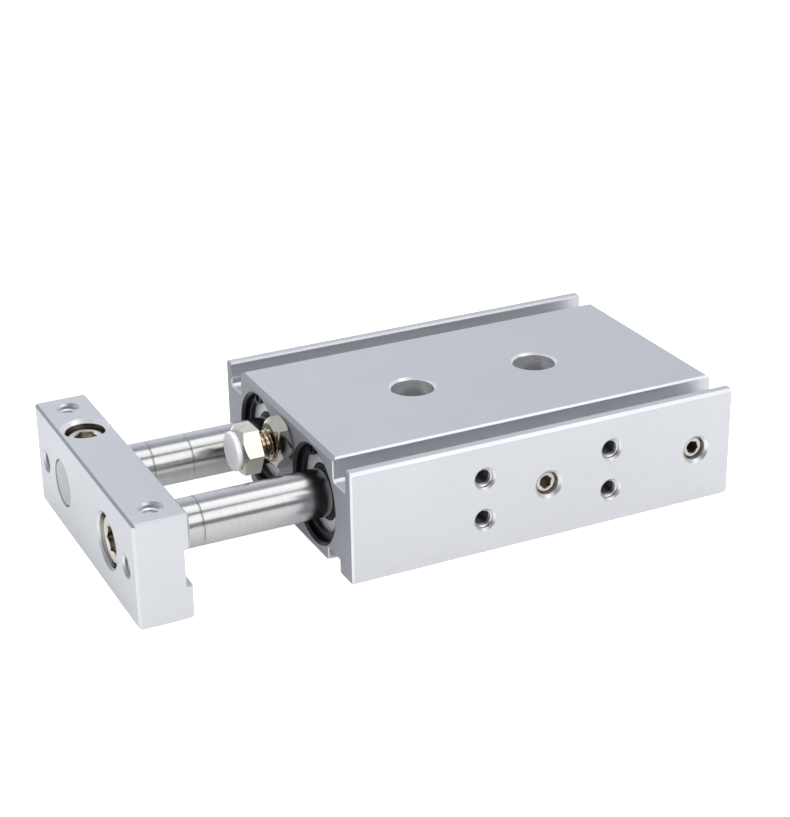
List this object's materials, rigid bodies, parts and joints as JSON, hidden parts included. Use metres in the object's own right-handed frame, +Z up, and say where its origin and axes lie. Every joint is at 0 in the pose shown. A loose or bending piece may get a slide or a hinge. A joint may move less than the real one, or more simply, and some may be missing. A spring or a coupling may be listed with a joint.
{
  "type": "twin rod pneumatic cylinder",
  "caption": "Flat aluminium air cylinder with twin bores side by side, whose polished rods push one end plate in and out, with an adjustable bumper stop.",
  "frame": {"origin": "middle of the housing's underside, halfway along the housing", "axes": "+X the way the rods come out, +Z up from the mounting face, +Y the side with the plugged ports"},
  "size_m": [0.13, 0.064, 0.024],
  "materials": {
    "body_aluminium": "satin hard anodised",
    "cover_aluminium": "turned",
    "rod_chrome": "polished hard chrome",
    "ring_steel": "black oxide",
    "nickel_steel": "nickel plated",
    "bush_bronze": "plain",
    "seal_rubber": "matt",
    "magnet_ferrite": "matt",
    "bumper_urethane": "satin"
  },
  "bodies": {
    "body": {"housing": "body_aluminium", "rod_cover_a": "cover_aluminium", "rod_cover_b": "cover_aluminium", "rod_bush_a": "bush_bronze", "rod_bush_b": "bush_bronze", "rod_seal_a": "seal_rubber", "rod_seal_b": "seal_rubber", "cover_o_ring_a": "seal_rubber", "cover_o_ring_b": "seal_rubber", "front_snap_ring_a": "ring_steel", "front_snap_ring_b": "ring_steel", "head_cover_a": "cover_aluminium", "head_cover_b": "cover_aluminium", "head_o_ring_a": "seal_rubber", "head_o_ring_b": "seal_rubber", "rear_snap_ring_a": "ring_steel", "rear_snap_ring_b": "ring_steel", "rod_port_plug": "nickel_steel", "head_port_plug": "nickel_steel", "lock_nut": "nickel_steel"},
    "rod_assembly": {"rod_a": "rod_chrome", "rod_b": "rod_chrome", "piston_a": "cover_aluminium", "piston_b": "cover_aluminium", "piston_seal_a": "seal_rubber", "piston_seal_b": "seal_rubber", "piston_magnet_a": "magnet_ferrite", "piston_magnet_b": "magnet_ferrite", "piston_bumper_a": "bumper_urethane", "piston_bumper_b": "bumper_urethane", "piston_nut_a": "nickel_steel", "piston_nut_b": "nickel_steel", "plate": "body_aluminium", "plate_cap_screw": "nickel_steel", "plate_set_screw": "nickel_steel"},
    "adjuster_bumper": {"stop_bumper": "bumper_urethane"},
    "adjuster_bolt": {"bumper_bolt": "nickel_steel"}
  },
  "joints": [
    {"name": "rod_slide", "type": "slide", "parent": "body", "child": "rod_assembly", "axis": [1, 0, 0], "range_m": [-0.02, 0]},
    {"name": "adjuster_feed", "type": "slide", "parent": "body", "child": "adjuster_bumper", "axis": [1, 0, 0], "range_m": [-0.003, 0]},
    {"name": "adjuster_turn", "type": "hinge", "parent": "adjuster_bumper", "child": "adjuster_bolt", "pos_m": [0.05, 0, 0.018], "axis": [1, 0, 0], "range_deg": [-1085, 0]}
  ],
  "couplings": [
    {"joint": "adjuster_turn", "follows": "adjuster_feed", "rad_per_m": 6283.2}
  ]
}
